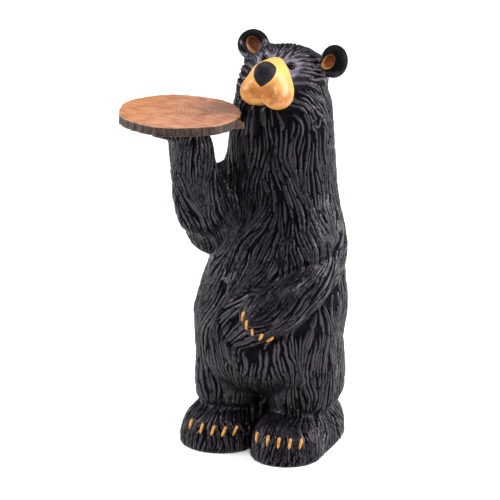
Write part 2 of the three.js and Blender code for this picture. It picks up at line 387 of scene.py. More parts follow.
def waves(points, length, seed):
    """A smooth field between about -1 and 1 that turns over in about the given length."""
    draw = np.random.default_rng(seed)
    total = np.zeros(len(points))
    for _ in range(7):
        direction = draw.normal(size=3)
        direction *= 2 * math.pi / (length * draw.uniform(0.7, 1.5) * np.linalg.norm(direction))
        total += np.sin(points @ direction + draw.uniform(0, 2 * math.pi))
    return total / 2.6


def lie_of_fur(points, normals):
    """Unit vectors along the locks, level with the skin."""
    head = in_head(points)
    fall = np.zeros_like(points)
    fall[:, 2] = -1
    sweep = np.clip((80 * U - points[:, 0]) / (160 * U), 0, 1) * smooth_step(40 * U, -40 * U, points[:, 1])
    belly = smooth_step(610 * U, 480 * U, points[:, 2]) * smooth_step(240 * U, 330 * U, points[:, 2])
    fall[:, 0] -= 0.42 * sweep * belly
    back = head - [0, -104, -10]
    back /= np.linalg.norm(back, axis=1)[:, None]
    back[:, 2] -= 1.5 * smooth_step(-60, 60, head[:, 1])
    on_head = smooth_step(-120, -60, head[:, 2] + 0.35 * (head[:, 1] + 60))
    flow = fall * (1 - on_head)[:, None] + from_head(back) * on_head[:, None]
    for line, strength in ((LEFT_FOREARM, 1.0), (LEFT_UPPER_ARM, 0.8), (RIGHT_FOREARM, 0.9)):
        distance, heading = along_line(points, line)
        share = strength * smooth_step(1.2, 1.04, distance / ARM_RADIUS)[:, None]
        flow = flow * (1 - share) + heading * share
    for middle in FOOT_MIDDLES:
        fan = points - middle
        fan[:, 2] = -0.045
        fan /= np.linalg.norm(fan, axis=1)[:, None]
        same_side = np.sign(points[:, 0] - 2 * U) == np.sign(middle[0])
        share = (smooth_step(118 * U, 92 * U, points[:, 2]) * same_side)[:, None]
        flow = flow * (1 - share) + fan * share
    sideways = np.cross(normals, flow)
    angle = 0.34 * waves(points, 46 * MM, 3) + 0.16 * waves(points, 17 * MM, 4)
    flow = flow + sideways * angle[:, None]
    for middle in SWIRLS:
        from_middle = points - middle
        gap = np.linalg.norm(from_middle, axis=1)
        share = smooth_step(8 * MM, 5.5 * MM, gap)[:, None]
        flow = flow * (1 - share) + np.cross(normals, from_middle) / (gap[:, None] + 1e-6) * share
    flow -= normals * np.sum(flow * normals, axis=1)[:, None]
    return flow / np.maximum(np.linalg.norm(flow, axis=1), 1e-6)[:, None]


places, normals = points_of(soft.data), normals_of(soft.data)
head = in_head(places)
store(soft.data, "flow", lie_of_fur(places, normals))
print("flow stored on", len(places), "points")

# %% [markdown]
# ## Where the gouge went
# The muzzle, the nose and the hollows of the ears are smooth, the ears' rims are nearly so, and the underside
# and the palm under the tray are plain. Each point stores how deep the gouge went there. The head has finer
# locks than the trunk, so the strokes are laid in two sets.

# %% Depth of the carving
TRAY_MIDDLE = np.array([-163, -152, 814]) * U
TRAY_TILT = math.radians(1.5)
TRAY_RADIUS, TRAY_THICKNESS = 71 * MM, 11 * MM
TRAY_AXES = np.array(Matrix.Rotation(TRAY_TILT, 3, "Y"))


def in_tray(points):
    """Places in the tray's own frame: its top is level with z = 0."""
    return (points - TRAY_MIDDLE) @ TRAY_AXES


def on_head_share(head):
    return smooth_step(-120, -70, head[:, 2] + 0.3 * head[:, 1])


ears = ear_parts(head)
muzzle_gap = gold_distance(head) * U
store(soft.data, "muzzle_edge", muzzle_gap / MM)
store(soft.data, "nose_edge", nose_distance(head) * U / MM)
bare = smooth_step(1.6 * MM, 0.0, muzzle_gap)
for whole, hollow, _ in ears:
    bare = np.maximum(bare, 0.9 * smooth_step(1.25, 1.05, whole))
    bare = np.maximum(bare, smooth_step(1.3, 1.1, hollow) * (whole < 1.5))
on_tray = in_tray(places)
under_tray = np.hypot(on_tray[:, 0], on_tray[:, 1]) < TRAY_RADIUS + 1 * MM
under_tray &= on_tray[:, 2] > -TRAY_THICKNESS - 1 * MM
bare[under_tray] = 1
bare = np.maximum(bare, smooth_step(2.5 * MM, 0.8 * MM, places[:, 2]))
furry = 1 - bare
head_share = on_head_share(head)
print("share of the skin that is carved:", round(float(furry.mean()), 3))

# %% [markdown]
# ## The strokes
# Each lock follows the lie of the fur for a few centimetres. Geometry Nodes scatter the starts of the strokes
# over the skin, keep them apart, and then walk every stroke along the stored direction, a step at a time, and
# back onto the skin. On the trunk the starts are spread on a copy that is squashed in height, so that they may
# stand close side by side but not close above each other.

# %% A tree that traces strokes
STEPS = 12
MOST_STARTS = 200000

def stroke_tree(steps):
    tree, given = geometry_tree("trace_strokes", Spacing="Float", Length="Float", Squash="Float", Seed="Int")
    flat = node(tree, "ShaderNodeCombineXYZ", {"X": 1.0, "Y": 1.0, "Z": out(given, "Squash")})
    low = node(tree, "GeometryNodeTransform", {"Geometry": out(given), "Scale": out(flat)})
    starts = node(tree, "GeometryNodeDistributePointsOnFaces", distribute_method="POISSON")
    for socket, source in (
        ("Mesh", out(low)),
        ("Distance Min", out(given, "Spacing")),
        ("Density Factor", field(tree, "start_share")),
        ("Seed", out(given, "Seed")),
    ):
        tree.links.new(source, next(s for s in starts.inputs if s.enabled and s.name == socket))
    next(s for s in starts.inputs if s.name == "Density Max").default_value = MOST_STARTS
    upright = math_node(tree, "DIVIDE", 1.0, out(given, "Squash"))
    tall = node(tree, "ShaderNodeCombineXYZ", {"X": 1.0, "Y": 1.0, "Z": upright})
    starts = node(tree, "GeometryNodeTransform", {"Geometry": out(starts, "Points"), "Scale": out(tall)})
    marked = store_field(tree, out(starts), "stroke", out(node(tree, "GeometryNodeInputIndex")), "INT")
    chance = node(tree, "FunctionNodeRandomValue", {"Seed": out(given, "Seed")}, data_type="FLOAT")
    marked = store_field(tree, out(marked), "lift", out(chance))
    beads = node(tree, "GeometryNodeDuplicateElements", {"Geometry": out(marked), "Amount": steps + 1}, domain="POINT")
    beads = store_field(tree, out(beads), "bead", out(beads, "Duplicate Index"), "INT")
    way = math_node(tree, "DIVIDE", field(tree, "bead", "INT"), float(steps))
    beads = store_field(tree, out(beads), "way", way)
    walk_in = tree.nodes.new("GeometryNodeRepeatInput")
    walk_out = tree.nodes.new("GeometryNodeRepeatOutput")
    walk_in.pair_with_output(walk_out)
    walk_in.inputs["Iterations"].default_value = steps
    tree.links.new(out(beads), walk_in.inputs["Geometry"])
    flow = {"Mesh": out(given), "Value": field(tree, "flow", "FLOAT_VECTOR")}
    here = node(tree, "GeometryNodeSampleNearestSurface", flow, data_type="FLOAT_VECTOR")
    step = math_node(tree, "DIVIDE", out(given, "Length"), float(steps))
    stride = node(tree, "ShaderNodeVectorMath", {0: out(here), "Scale": step}, operation="SCALE")
    pair = {"A": field(tree, "bead", "INT"), "B": out(walk_in, "Iteration")}
    ahead = node(tree, "FunctionNodeCompare", pair, data_type="INT", operation="GREATER_THAN")
    moves = {"Geometry": out(walk_in, "Geometry"), "Selection": out(ahead), "Offset": out(stride)}
    walked = node(tree, "GeometryNodeSetPosition", moves)
    ground = node(tree, "GeometryNodeProximity", {0: out(given)}, target_element="FACES")
    landed = node(tree, "GeometryNodeSetPosition", {"Geometry": out(walked), "Position": out(ground, "Position")})
    tree.links.new(out(landed), walk_out.inputs["Geometry"])
    order = {"Curve Group ID": field(tree, "stroke", "INT"), "Weight": field(tree, "bead", "INT")}
    curves = node(tree, "GeometryNodePointsToCurves", {"Points": out(walk_out, "Geometry"), **order})
    lines = node(tree, "GeometryNodeCurveToMesh", {"Curve": out(curves)})
    node(tree, "NodeGroupOutput", {"Geometry": out(lines)})
    return tree

print("stroke tree described")

# %% Strokes on the trunk and on the head
strokes = stroke_tree(STEPS)
store(soft.data, "start_share", (1 - head_share) * (furry > 0.3) * smooth_step(70 * U, 95 * U, places[:, 2]))
trunk_lines = run_tree(soft, strokes, "trunk_lines", Spacing=4.3 * MM, Length=50 * MM, Squash=0.2, Seed=5)
low_share = smooth_step(105 * U, 80 * U, places[:, 2]) * (furry > 0.3)
store(soft.data, "start_share", np.maximum(head_share * (furry > 0.2), low_share))
head_lines = run_tree(soft, strokes, "head_lines", Spacing=7.0 * MM, Length=24 * MM, Squash=1.0, Seed=8)
counts = [len(lines.data.vertices) // (STEPS + 1) for lines in (trunk_lines, head_lines)]
print("strokes:", counts[0], "on the trunk,", counts[1], "on head and feet")

# %% [markdown]
# ## Carving
# A point of the skin belongs to the stroke that is nearest to it. Close to the stroke's line the skin keeps its
# height, and it falls away towards the border with the next stroke, so that a sharp valley is left between two
# locks. Every stroke is also lifted by an amount of its own, because one lock overlaps the next.

# %% A tree that carves between strokes
def carving_tree():
    tree, given = geometry_tree("carve_locks", Strokes="Object", Depth="Float", Lift="Float")
    lines = out(node(tree, "GeometryNodeObjectInfo", {"Object": out(given, "Strokes")}), "Geometry")
    near = node(tree, "GeometryNodeProximity", {0: lines}, target_element="EDGES")
    which = node(tree, "GeometryNodeSampleNearest", {"Geometry": lines}, domain="EDGE")

    def of_stroke(name):
        """What the nearest stroke carries under a name."""
        inputs = {"Geometry": lines, "Value": field(tree, name), "Index": out(which)}
        return out(node(tree, "GeometryNodeSampleIndex", inputs, data_type="FLOAT", domain="EDGE"))

    off_middle = math_node(tree, "ABSOLUTE", math_node(tree, "MULTIPLY_ADD", of_stroke("way"), 2.0, -1.0))
    tip = math_node(tree, "POWER", off_middle, 4.0)
    width = math_node(tree, "MULTIPLY", field(tree, "half_width"), math_node(tree, "MULTIPLY_ADD", tip, -0.5, 1.0))
    share = math_node(tree, "MINIMUM", math_node(tree, "DIVIDE", out(near, "Distance"), width), 1.15)
    valley = math_node(tree, "POWER", share, 1.25)
    own = of_stroke("lift")
    raised = math_node(tree, "MULTIPLY", math_node(tree, "SUBTRACT", own, 0.5), out(given, "Lift"))
    crown = math_node(tree, "MULTIPLY_ADD", tip, -0.35, 0.45)
    height = math_node(tree, "ADD", math_node(tree, "SUBTRACT", crown, valley), raised)
    depth = math_node(tree, "MULTIPLY", field(tree, "depth"), out(given, "Depth"))
    push = {0: field(tree, "outward", "FLOAT_VECTOR"), "Scale": math_node(tree, "MULTIPLY", height, depth)}
    offset = node(tree, "ShaderNodeVectorMath", push, operation="SCALE")
    shaped = node(tree, "GeometryNodeSetPosition", {"Geometry": out(given), "Offset": out(offset)})
    for name, value in (("crest", height), ("own_lift", own), ("line_gap", out(near, "Distance"))):
        shaped = store_field(tree, out(shaped), name, value)
    node(tree, "NodeGroupOutput", {"Geometry": out(shaped)})
    return tree

bpy.context.view_layer.objects.active = trunk_lines
with bpy.context.temp_override(active_object=trunk_lines, selected_editable_objects=[trunk_lines, head_lines]):
    bpy.ops.object.join()
face_share = smooth_step(-40, -90, head[:, 1]) * head_share
store(soft.data, "depth", furry * (1 - 0.3 * head_share - 0.25 * face_share))
store(soft.data, "half_width", (2.6 - 0.5 * head_share) * MM)
store(soft.data, "outward", normals)
carved = run_tree(soft, carving_tree(), "carved", Strokes=trunk_lines, Depth=2.0 * MM, Lift=0.6)
drop(soft, trunk_lines)
print("carved:", len(carved.data.vertices), "points")

# %% [markdown]
# ## A cut between neighbours
# Where two strokes run close together the skin hardly falls between them. A real gouge leaves a cut there all the
# same. Points whose neighbour belongs to another stroke are on such a border, and they are pressed in. Their crest
# value is lowered as well, so the paint there is darker: partly unbrushed groove, partly painted shade.

# %% Cuts
CUT_DEPTH = 1.0 * MM


def read(mesh, name):
    values = np.empty(len(mesh.vertices), np.float32)
    mesh.attributes[name].data.foreach_get("value", values)
    return values.astype(float)


def neighbours(mesh):
    pairs = np.empty(len(mesh.edges) * 2, np.int32)
    mesh.edges.foreach_get("vertices", pairs)
    return pairs.reshape(-1, 2)


def spread(values, pairs):
    """Each point's value, half mixed with the mean of its neighbours."""
    first, second = pairs.T
    count = np.bincount(pairs.ravel(), minlength=len(values))
    total = np.bincount(first, values[second], len(values)) + np.bincount(second, values[first], len(values))
    return 0.5 * values + 0.5 * total / np.maximum(count, 1)


pairs = neighbours(carved.data)
own = read(carved.data, "own_lift")
differ = np.abs(own[pairs[:, 0]] - own[pairs[:, 1]]) > 1e-5
on_border = np.bincount(pairs[differ].ravel(), minlength=len(own)) > 0
cut = spread(on_border * smooth_step(0.35 * MM, 0.9 * MM, read(carved.data, "line_gap")), pairs) * furry
move_points(carved.data, points_of(carved.data) - normals * (CUT_DEPTH * cut)[:, None])
# The lowered crest paints the cuts darker, partly as a painted shade in the cut.
store(carved.data, "crest", read(carved.data, "crest") - 0.8 * cut)
print("points on a border:", round(float(on_border.mean()), 2))

# %% [markdown]
# ## The face, the floor and the tray's seat
# The nose is a separate crisp form on the muzzle, so its points are pushed out a little. Around each eye the
# face sinks into a small socket. The crease beside the left arm and the gap between the legs are deepened. The
# underside is pressed flat, and whatever would poke through the tray is pushed back out of it.

# %% Nose, sockets and seat
EYE_RAYS = ((25, -120, 946), (87, -120, 933))
INWARD = Vector((-0.26, 0.91, -0.31)).normalized()
EYE_RADIUS = 4.5 * MM
EYE_FORWARD = (5.0 * MM, 0.8 * MM)
NOSE_RISE, EAR_RISE, EAR_SINK, SOCKET_SINK = 2.2 * MM, 1.2 * MM, 3.0 * MM, 0.9 * MM
CREASE_SINK, GAP_SINK = 1.6 * MM, 8.0 * MM
SEAT_REACH, SEAT_GAP = TRAY_RADIUS + 2.8 * MM, 0.35 * MM

def surface_of(mesh):
    """The mesh as something that rays can be cast at."""
    return BVHTree.FromPolygons([Vector(p) for p in points_of(mesh)], [tuple(p.vertices) for p in mesh.polygons])

places = points_of(carved.data)
normals = normals_of(carved.data)
surface = surface_of(carved.data)
eye_places = [surface.ray_cast(Vector(start) * U, INWARD)[0] for start in EYE_RAYS]
print("eyes at", [[round(c / U) for c in place] for place in eye_places])
head = in_head(places)
nose_gap = read(carved.data, "nose_edge") * MM
places += normals * (NOSE_RISE * smooth_step(1.0 * MM, -1.4 * MM, nose_gap))[:, None]
for whole, hollow, _ in ear_parts(head):
    rise = EAR_RISE * smooth_step(1.6, 1.2, whole) - EAR_SINK * smooth_step(1.08, 0.75, hollow) * (whole < 1.5)
    places += normals * rise[:, None]
along_arm = along_line(places, LEFT_FOREARM)[0] / ARM_RADIUS
crease = smooth_step(0.98, 1.08, along_arm) * smooth_step(1.26, 1.12, along_arm) * (places[:, 1] < -50 * U)
places -= normals * (CREASE_SINK * crease)[:, None]
legs_gap = smooth_step(20 * U, 10 * U, np.abs(places[:, 0] - 10 * U)) * smooth_step(150 * U, 118 * U, places[:, 2])
legs_gap *= smooth_step(-125 * U, -105 * U, places[:, 1]) * (places[:, 1] < 0)
places[:, 1] += GAP_SINK * legs_gap
for place in eye_places:
    from_eye = np.linalg.norm(places - np.array(place), axis=1)
    places -= normals * (SOCKET_SINK * smooth_step(7.0 * MM, 4.5 * MM, from_eye))[:, None]
on_tray = in_tray(places)
radial = np.hypot(on_tray[:, 0], on_tray[:, 1])
to_side, to_floor = SEAT_REACH - radial, on_tray[:, 2] + TRAY_THICKNESS + SEAT_GAP
inside = (to_side > 0) & (to_floor > 0) & (on_tray[:, 2] < SEAT_GAP)
to_side[on_tray[:, 0] <= 0] = 1
outwards = inside & (to_side < to_floor)
downwards = inside & ~outwards
on_tray[downwards, 2] = -TRAY_THICKNESS - SEAT_GAP
on_tray[outwards, :2] *= (SEAT_REACH / radial[outwards])[:, None]
places = on_tray @ TRAY_AXES.T + TRAY_MIDDLE
places[:, 2] = np.maximum(places[:, 2], 0)
move_points(carved.data, places)
print("pushed out of the tray:", int(inside.sum()), "points")

# %% Fewer triangles where the relief is plain
carved.data.calc_loop_triangles()
triangles = len(carved.data.loop_triangles)
thin = carved.modifiers.new("thin", "DECIMATE")
thin.ratio = min(1.0, MOST_TRIANGLES / triangles)
bear = plain_copy(carved, "bear_carved")
drop(carved)
bear.data.calc_loop_triangles()
print("triangles:", triangles, "thinned to", len(bear.data.loop_triangles))

# %% [markdown]
# ## Paint as distances
# The paint has crisp edges that don't follow the mesh. Each point therefore stores how far it is from the edge
# of a painted patch, and the material cuts at zero. The cut runs through the triangles, so it stays smooth.

# %% Painted patches
places = points_of(bear.data)
head = in_head(places)
parts = ear_parts(head)
hollow_edge = np.min([np.where(whole < 1.6, (hollow - 1.0) * 10, 9) for whole, hollow, _ in parts], axis=0)
hollow_rise = np.where(head[:, 0] < 0, parts[0][2], parts[1][2])
socket_edge = np.min([np.linalg.norm(places - np.array(place), axis=1) for place in eye_places], axis=0) / MM - 5.2
store(bear.data, "hollow_edge", hollow_edge)
store(bear.data, "hollow_rise", hollow_rise)
store(bear.data, "socket_edge", socket_edge)
store(bear.data, "in_head", head / 100)
bear.data.shade_smooth()
golden = read(bear.data, "muzzle_edge") < 0
print("golden points:", int(golden.sum()), "hollow points:", int((hollow_edge < 0).sum()))

# %% [markdown]
# ## Colours
# Colours are written as the sRGB hex values that a paint chart would give. Blender works in linear light, so
# one function turns them.

# %% Colours
def colour(code):
    channels = [int(code[i : i + 2], 16) / 255 for i in (1, 3, 5)]
    linear = [c / 12.92 if c <= 0.04045 else ((c + 0.055) / 1.055) ** 2.4 for c in channels]
    return (*linear, 1.0)


def new_material(name):
    material = bpy.data.materials.new(name)
    material.use_nodes = True
    material.node_tree.nodes.clear()
    return material, material.node_tree


def point_value(tree, name, output="Fac"):
    """What the points carry under a name, in a material."""
    return out(node(tree, "ShaderNodeAttribute", attribute_name=name), output)

def between(tree, value, low, high, to_low=0.0, to_high=1.0):
    """Turns a range of numbers into another, smoothly and with its ends held."""
    return out(
        node(
            tree,
            "ShaderNodeMapRange",
            {"Value": value, "From Min": low, "From Max": high, "To Min": to_low, "To Max": to_high},
            interpolation_type="SMOOTHSTEP",
        )
    )


def mixed(tree, share, first, second):
    """Mixes two colours, each a hex value or another node's output."""
    first, second = (colour(tone) if isinstance(tone, str) else tone for tone in (first, second))
    return out(node(tree, "ShaderNodeMix", {"Factor": share, "A": first, "B": second}, data_type="RGBA"))

def noise(tree, vector, scale, detail=3.0, roughness=0.5):
    inputs = {"Vector": vector, "Scale": scale, "Detail": detail, "Roughness": roughness}
    return out(node(tree, "ShaderNodeTexNoise", inputs), "Fac")


def stretched(tree, scale, place=(0, 0, 0), turn=(0, 0, 0)):
    """Object coordinates, stretched, so that a pattern can be longer one way than another."""
    coordinates = node(tree, "ShaderNodeTexCoord")
    inputs = {"Vector": out(coordinates, "Object"), "Location": place, "Rotation": turn, "Scale": scale}
    return out(node(tree, "ShaderNodeMapping", inputs))


def scaled(tree, place, scale):
    return out(node(tree, "ShaderNodeVectorMath", {0: place, 1: scale}, operation="MULTIPLY"))

def close_material(tree, inputs):
    """Adds the material's one shader and its output."""
    shader = node(tree, "ShaderNodeBsdfPrincipled", inputs)
    node(tree, "ShaderNodeOutputMaterial", {"Surface": out(shader)})

print("black is", [round(c, 4) for c in colour("#1d1b1f")])

# %% [markdown]
# ## Painted casting resin
# Filled polyester resin is painted with black acrylic and sealed with a satin clear coat. It is not metallic,
# its IOR is about 1.5, and the coat makes long soft highlights along every lock. The grooves stay dark and
# matt, and the crests are a little lighter: partly because the brush only reaches them, and partly as painted
# shade in the grooves and a painted violet sheen, a painted highlight, along the crests. Round the eyes a
# violet grey is brushed on more heavily, stronger on the crests, with a paler ring close round each eye; this
# too is partly paint and partly a painted highlight. The muzzle is golden acrylic under the same coat, shaded
# with amber towards its lower lobes.

# %% Painted resin
def painted_resin():
    material, tree = new_material("black_painted_resin")
    names = ("crest", "socket_edge", "muzzle_edge", "nose_edge", "hollow_edge", "hollow_rise")
    crest, socket, muzzle, nose, hollow, rise = (point_value(tree, name) for name in names)
    high = between(tree, crest, -0.75, 0.35)
    brushed = noise(tree, stretched(tree, (1, 1, 0.25)), 60.0, 4.0)
    # Grooves painted near black and crests lighter: partly dry-brushed paint, partly painted shade in the grooves.
    black = mixed(tree, high, "#020203", "#110e13")
    # The sheen is a painted highlight: a lighter violet streaked along the crests.
    sheen = math_node(tree, "MULTIPLY", high, between(tree, brushed, 0.45, 0.75, 0.0, 0.5))
    black = mixed(tree, sheen, black, "#221d28")
    # Round the eyes a violet grey, stronger on the crests, and a paler ring close round each eye: partly brushed
    # paint, partly a painted highlight.
    crest_weighted = math_node(tree, "MULTIPLY_ADD", high, 0.6, 0.3)
    dusting_and_highlight = math_node(tree, "MULTIPLY", crest_weighted, between(tree, socket, 30.0, 6.0, 0.0, 0.85))
    black = mixed(tree, dusting_and_highlight, black, "#5a5261")
    black = mixed(tree, between(tree, socket, 11.0, 2.0, 0.0, 0.7), black, "#857d8d")
    head = node(tree, "ShaderNodeSeparateXYZ", {"Vector": point_value(tree, "in_head", "Vector")})
    low = between(tree, out(head, "Z"), 0.3, -0.35)
    blotches = noise(tree, stretched(tree, (1, 1, 1)), 70.0, 2.0)
    amber = math_node(tree, "MULTIPLY", low, between(tree, blotches, 0.35, 0.65, 0.3, 1.0))
    golden = mixed(tree, amber, "#e6ac56", "#a45c10")
    golden_share = between(tree, muzzle, 0.25, -0.25)
    painted = mixed(tree, golden_share, black, golden)
    nose_share = between(tree, nose, 0.2, -0.2)
    painted = mixed(tree, nose_share, painted, "#0d0d11")
    ochre = mixed(tree, between(tree, rise, -0.45, 0.4), "#80441c", "#4a2a17")
    gilt = math_node(tree, "MULTIPLY", between(tree, hollow, -2.4, -0.7), between(tree, rise, 0.5, -0.3, 0.15, 1.0))
    ochre = mixed(tree, gilt, ochre, "#c08a45")
    painted = mixed(tree, between(tree, hollow, 0.3, -0.3), painted, ochre)
    painted = mixed(tree, between(tree, socket, 0.5, -0.5), painted, "#0c0a0b")
    fur_share = between(tree, muzzle, -0.5, 1.5)
    groove = math_node(tree, "MULTIPLY", fur_share, between(tree, crest, -0.15, -0.7))
    mirror = math_node(tree, "MULTIPLY_ADD", groove, -0.42, 0.5)
    mirror = math_node(tree, "MULTIPLY_ADD", nose_share, -0.25, mirror)
    coat = math_node(tree, "MULTIPLY_ADD", groove, -0.25, 0.25)
    coat = math_node(tree, "MULTIPLY_ADD", golden_share, 0.15, coat)
    coat = math_node(tree, "MULTIPLY_ADD", nose_share, -0.4, coat, clamp=True)
    rough = between(tree, crest, -0.6, 0.3, 0.6, 0.31)
    rough = math_node(tree, "ADD", rough, between(tree, brushed, 0.3, 0.7, -0.06, 0.08))
    grain = noise(tree, stretched(tree, (1, 1, 0.18)), 420.0, 3.0, 0.6)
    fine = math_node(tree, "MULTIPLY", grain, between(tree, muzzle, 0.0, 2.0, 0.12, 1.0))
    bump = node(tree, "ShaderNodeBump", {"Strength": 0.35, "Distance": 0.35 * MM, "Height": fine})
    inputs = {
        "Base Color": painted,
        "Roughness": rough,
        "Normal": out(bump),
        "IOR": 1.5,
        "Specular IOR Level": mirror,
        "Specular Tint": colour("#efe4f6"),
        "Coat Weight": coat,
        "Coat Roughness": 0.2,
        "Coat IOR": 1.5,
    }
    close_material(tree, inputs)
    return material

resin = painted_resin()
bear.data.materials.append(resin)
print("material:", resin.name)

# %% [markdown]
# ## Eyes and claws
# The eyes are glossy black beads. The claws are fifteen golden rods, cast in the toes. One claw is modelled,
# with a thick root and a blunt tip, and Geometry Nodes places it on points that a ray finds on the skin, each
# turned to the way its paw points.

# %% Small gloss materials
def plain_gloss(name, code, darker, roughness, scale, mirror=0.5):
    material, tree = new_material(name)
    mottled = noise(tree, stretched(tree, (1, 1, 1)), scale, 3.0)
    tone = mixed(tree, between(tree, mottled, 0.35, 0.7), code, darker)
    close_material(tree, {"Base Color": tone, "Roughness": roughness, "IOR": 1.5, "Specular IOR Level": mirror})
    return material


eye_gloss = plain_gloss("black_gloss_enamel", "#060505", "#120b0a", 0.06, 300.0, 0.22)
claw_paint = plain_gloss("golden_claw_acrylic", "#d8a04a", "#a8681f", 0.35, 260.0)
print("materials:", eye_gloss.name, claw_paint.name)

# %% One claw
CLAW_LENGTH, CLAW_RADIUS = 14 * MM, 1.9 * MM
CLAW_RINGS, CLAW_SIDES = 9, 10


def one_claw():
    """A blunt rod along +Y with a bend towards -Z."""
    shell = bmesh.new()
    rings = []
    for i in range(CLAW_RINGS):
        share = i / (CLAW_RINGS - 1)
        closed = math.sqrt(max(0.0, 1 - max(1 - share / 0.12, 0, 1 - (1 - share) / 0.2) ** 2))
        size = CLAW_RADIUS * (1.05 - 0.3 * share) * max(closed, 0.05)
        y = (share - 0.5) * CLAW_LENGTH
        z = -1.0 * MM * (2 * share - 1) ** 2
        turns = [2 * math.pi * k / CLAW_SIDES for k in range(CLAW_SIDES)]
        rings.append([shell.verts.new((size * math.cos(t), y, z + size * math.sin(t))) for t in turns])
    for low, high in zip(rings[:-1], rings[1:]):
        for k in range(CLAW_SIDES):
            after = (k + 1) % CLAW_SIDES
            shell.faces.new((low[k], high[k], high[after], low[after]))
    shell.faces.new(rings[0])
    shell.faces.new(list(reversed(rings[-1])))
    bmesh.ops.recalc_face_normals(shell, faces=shell.faces)
    mesh = bpy.data.meshes.new("one_claw")
    shell.to_mesh(mesh)
    shell.free()
    mesh.shade_smooth()
    return link_object("one_claw", mesh)


claw = one_claw()
print("one claw:", len(claw.data.polygons), "faces")

# %% Places of the claws
CLAW_ROWS = (
    (((-116, -250, 90), (-63, -250, 81), (-8, -250, 86)), (-0.3, -1, -1), (-0.3, -1, -1)),
    (((48, -260, 81), (100, -260, 74), (152, -260, 77)), (0, -1, -1), (0, -1, -1)),
    (((6, -230, 365), (29, -230, 329), (69, -230, 316)), (-0.55, -0.3, -1), (-0.05, -0.3, -1)),
)
CLAWS_PER_PAW = 5
surface = surface_of(bear.data)


def row_places(first, middle, last):
    """Evenly spaced places on the smooth arc through three places."""
    first, middle, last = (np.array(place, float) for place in (first, middle, last))
    t = np.linspace(0, 1, 81)[:, None]
    arc = first * (1 - t) * (1 - 2 * t) + middle * 4 * t * (1 - t) + last * t * (2 * t - 1)
    run = np.concatenate([[0], np.cumsum(np.linalg.norm(np.diff(arc, axis=0), axis=1))])
    stops = np.linspace(0, run[-1], CLAWS_PER_PAW)
    return np.stack([np.interp(stops, run, arc[:, axis]) for axis in range(3)], axis=1)


roots, alongs, ups = [], [], []
for row, first_way, last_way in CLAW_ROWS:
    for share, start in zip(np.linspace(0, 1, CLAWS_PER_PAW), row_places(*row)):
        pointing = Vector(first_way).lerp(Vector(last_way), share)
        hit, facing, _, _ = surface.ray_cast(Vector(start) * U, INWARD)
        nearby = np.linalg.norm(places - np.array(hit), axis=1) < 7 * MM
        facing = Vector(normals_of(bear.data)[nearby].mean(axis=0)).normalized()
        heading = pointing - facing * pointing.dot(facing)
        roots.append(hit + facing * 0.7 * MM)
        alongs.append(heading.normalized())
        ups.append(facing)
print("claws:", len(roots))

# %% Claws by Geometry Nodes
def claw_tree():
    tree, given = geometry_tree("place_claws", Claw="Object", Paint="Material")
    along, up = (field(tree, name, "FLOAT_VECTOR") for name in ("along", "up"))
    turned = node(
        tree,
        "FunctionNodeAxesToRotation",
        {"Primary Axis": along, "Secondary Axis": up},
        primary_axis="Y",
        secondary_axis="Z",
    )
    shape = node(tree, "GeometryNodeObjectInfo", {"Object": out(given, "Claw")})
    placed = node(
        tree,
        "GeometryNodeInstanceOnPoints",
        {"Points": out(given), "Instance": out(shape, "Geometry"), "Rotation": out(turned)},
    )
    real = node(tree, "GeometryNodeRealizeInstances", {"Geometry": out(placed)})
    painted = node(tree, "GeometryNodeSetMaterial", {"Geometry": out(real), "Material": out(given, "Paint")})
    node(tree, "NodeGroupOutput", {"Geometry": out(painted)})
    return tree


seeds = bpy.data.meshes.new("claw_places")
seeds.from_pydata([tuple(root) for root in roots], [], [])
store(seeds, "along", np.array(alongs))
store(seeds, "up", np.array(ups))
seed_object = link_object("claw_places", seeds)
claws = run_tree(seed_object, claw_tree(), "claws", Claw=claw, Paint=claw_paint)
drop(seed_object, claw)
print("claws:", len(claws.data.vertices), "points")

# %% Eyes
def bead(place, radius, material):
    shell = bmesh.new()
    bmesh.ops.create_icosphere(shell, subdivisions=4, radius=radius, matrix=Matrix.Translation(place))
    mesh = bpy.data.meshes.new("eye")
    shell.to_mesh(mesh)
    shell.free()
    mesh.shade_smooth()
    mesh.materials.append(material)
    return link_object("eye", mesh)


eyes = [bead(place - INWARD * step, EYE_RADIUS, eye_gloss) for place, step in zip(eye_places, EYE_FORWARD)]
print("eyes:", len(eyes))

# %% One casting again
with bpy.context.temp_override(active_object=bear, selected_editable_objects=[bear, claws, *eyes]):
    bpy.ops.object.join()
bear.name = "carved_bear"
bear.data.calc_loop_triangles()
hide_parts("bear")
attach(bear, "root")
print("bear:", len(bear.data.loop_triangles), "triangles,", len(bear.data.materials), "materials")

# %% [markdown]
# ## The tray
# The tray is a slice of log in the same casting resin: a red-brown sawn face with fine growth rings, and a wall
# of grey-brown bark with upright scratches. It is built as rings of points from the middle of the top, out over
# the rim, down the wall and back to the middle of the underside, so that the growth rings and the bark can be cut
# by moving points. The cracks are only painted.

# %% The tray's shape
TRAY_CHAMFER, TRAY_WAVINESS = 0.7 * MM, 1.5 * MM
TRAY_TURNS = 420
TOP_RINGS, WALL_RINGS, UNDER_RINGS = 74, 12, 12
KNOT = np.array([48.0, 14.0]) * MM
SMALL_KNOT = np.array([-35.0, 14.0]) * MM
RING_SPACING = 4.6 * MM


